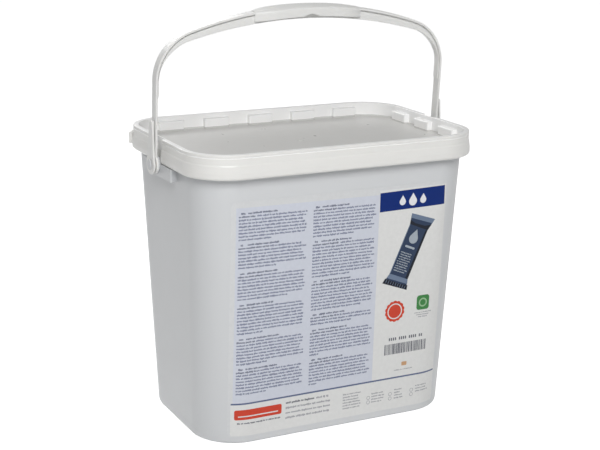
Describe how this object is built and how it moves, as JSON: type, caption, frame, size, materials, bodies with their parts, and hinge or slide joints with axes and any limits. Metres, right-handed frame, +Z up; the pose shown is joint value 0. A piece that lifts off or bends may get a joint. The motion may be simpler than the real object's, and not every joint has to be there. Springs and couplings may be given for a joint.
{
  "type": "lidded pail of wrapped cleaning tablets",
  "caption": "Rectangular plastic pail with a snap lid, a swinging carry handle, a printed front label and a load of wrapped oven descaling tablets.",
  "frame": {"origin": "centre of the pail's base on the surface it stands on", "axes": "+X along the long side, -Y out of the labelled front, +Z up"},
  "size_m": [0.3332, 0.2192, 0.4261],
  "materials": {
    "body_plastic": "satin cool white moulded plastic",
    "lid_plastic": "semi-gloss warm white moulded plastic",
    "handle_plastic": "satin slightly translucent white moulded plastic",
    "label_film": "satin in-mould film",
    "tablet_wrap": "glossy dark blue wrap"
  },
  "bodies": {
    "pail": {"pail": "body_plastic", "front_label": "label_film", "wrapped_tablets": "tablet_wrap"},
    "lid": {"lid": "lid_plastic"},
    "handle": {"carry_handle": "handle_plastic"}
  },
  "joints": [
    {"name": "lid_lift", "type": "slide", "parent": "pail", "child": "lid", "axis": [0, 0, 1], "range_m": [0, 0.045]},
    {"name": "handle_swing", "type": "hinge", "parent": "pail", "child": "handle", "pos_m": [0, 0, 0.274], "axis": [1, 0, 0], "range_deg": [-130, 122]}
  ]
}
